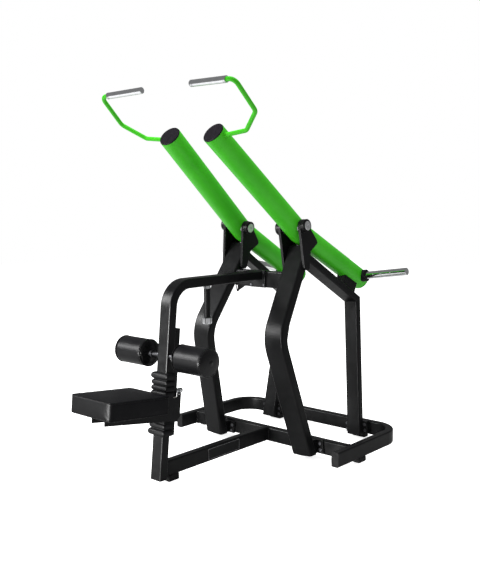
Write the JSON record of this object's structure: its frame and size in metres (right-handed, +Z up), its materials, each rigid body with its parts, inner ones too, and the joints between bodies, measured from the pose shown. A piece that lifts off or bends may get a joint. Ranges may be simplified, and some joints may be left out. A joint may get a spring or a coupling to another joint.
{
  "type": "lat pulldown machine",
  "caption": "Plate loaded lat pulldown machine with two independent lever arms, a height adjustable seat, thigh rollers and a splayed steel frame.",
  "frame": {"origin": "on the floor under the middle of the overall box, in the machine's mid plane", "axes": "+Z up, +X to the left of a seated user, who faces +Y towards the lever arms; the seat is at the -Y end"},
  "size_m": [1.286, 2.0632, 2.1281],
  "materials": {
    "frame_black": "satin black powder coat",
    "plate_black": "blank satin black plate",
    "bolt_black": "black oxide bolts",
    "bright_steel": "bright turned steel",
    "chrome": "polished chrome plate",
    "black_rubber": "matt black moulded rubber",
    "black_plastic": "black moulded plastic",
    "nylon": "natural nylon",
    "plywood": "plywood stained black",
    "seat_vinyl": "matt black vinyl",
    "roller_foam": "black moulded foam skin",
    "core_plastic": "dark plastic core tube",
    "arm_green": "gloss bright green powder coat",
    "cast_iron": "raw cast iron"
  },
  "bodies": {
    "frame": {"base_frame": "frame_black", "base_corners": "frame_black", "cross_beam": "frame_black", "centre_beam": "frame_black", "name_plate": "plate_black", "front_post": "frame_black", "top_beam_flange": "frame_black", "leg_cross_member": "frame_black", "leg_right": "frame_black", "leg_left": "frame_black", "frame_bolts": "bolt_black", "pivot_ears_right": "frame_black", "pivot_ears_left": "frame_black", "pivot_shafts": "bright_steel", "pivot_caps": "chrome", "inclined_beam_right": "frame_black", "inclined_beam_left": "frame_black", "rear_post_right": "frame_black", "rear_post_left": "frame_black", "stop_pads": "black_rubber", "rubber_feet": "black_rubber", "base_end_caps": "black_plastic", "seat_rail": "frame_black", "roller_axle": "bright_steel", "roller_collars": "bright_steel", "brace_sleeve": "black_rubber", "brace_fittings": "chrome"},
    "seat_carriage": {"carriage_sleeve": "frame_black", "carriage_liners": "nylon", "carriage_plates": "frame_black", "seat_board": "plywood", "seat_pad": "seat_vinyl", "seat_bolts": "bolt_black", "ribbed_buffers": "black_rubber", "pin_barrel": "bright_steel"},
    "lock_pin": {"adjust_pin": "chrome"},
    "roller_left": {"roller_core_left": "core_plastic", "roller_foam_left": "roller_foam", "roller_caps_left": "black_plastic"},
    "arm_left": {"lever_tube_left": "arm_green", "pivot_hub_left": "bright_steel", "pivot_bearings_left": "bright_steel", "tube_caps_left": "black_plastic", "balance_slug_left": "cast_iron", "handle_bar_left": "arm_green", "hand_grip_left": "chrome", "weight_horn_left": "chrome", "horn_collar_left": "black_rubber"},
    "roller_right": {"roller_core_right": "core_plastic", "roller_foam_right": "roller_foam", "roller_caps_right": "black_plastic"},
    "arm_right": {"lever_tube_right": "arm_green", "pivot_hub_right": "bright_steel", "pivot_bearings_right": "bright_steel", "tube_caps_right": "black_plastic", "balance_slug_right": "cast_iron", "handle_bar_right": "arm_green", "hand_grip_right": "chrome", "weight_horn_right": "chrome", "horn_collar_right": "black_rubber"}
  },
  "joints": [
    {"name": "seat_slide", "type": "slide", "parent": "frame", "child": "seat_carriage", "axis": [0, 0.1011, 0.9949], "range_m": [-0.09, 0.045]},
    {"name": "pin_slide", "type": "slide", "parent": "seat_carriage", "child": "lock_pin", "axis": [0, 0.9949, -0.1011], "range_m": [-0.013, 0]},
    {"name": "roller_spin_left", "type": "hinge", "parent": "frame", "child": "roller_left", "pos_m": [-0.222, -0.51204, 0.69644], "axis": [1, 0, 0], "continuous": true},
    {"name": "arm_pull_left", "type": "hinge", "parent": "frame", "child": "arm_left", "pos_m": [-0.21724, 0.32816, 1.36264], "axis": [0.9949, 0, -0.1011], "range_deg": [0, 50]},
    {"name": "roller_spin_right", "type": "hinge", "parent": "frame", "child": "roller_right", "pos_m": [0.222, -0.51204, 0.69644], "axis": [1, 0, 0], "continuous": true},
    {"name": "arm_pull_right", "type": "hinge", "parent": "frame", "child": "arm_right", "pos_m": [0.21724, 0.32816, 1.36264], "axis": [0.9949, 0, 0.1011], "range_deg": [0, 50]}
  ]
}
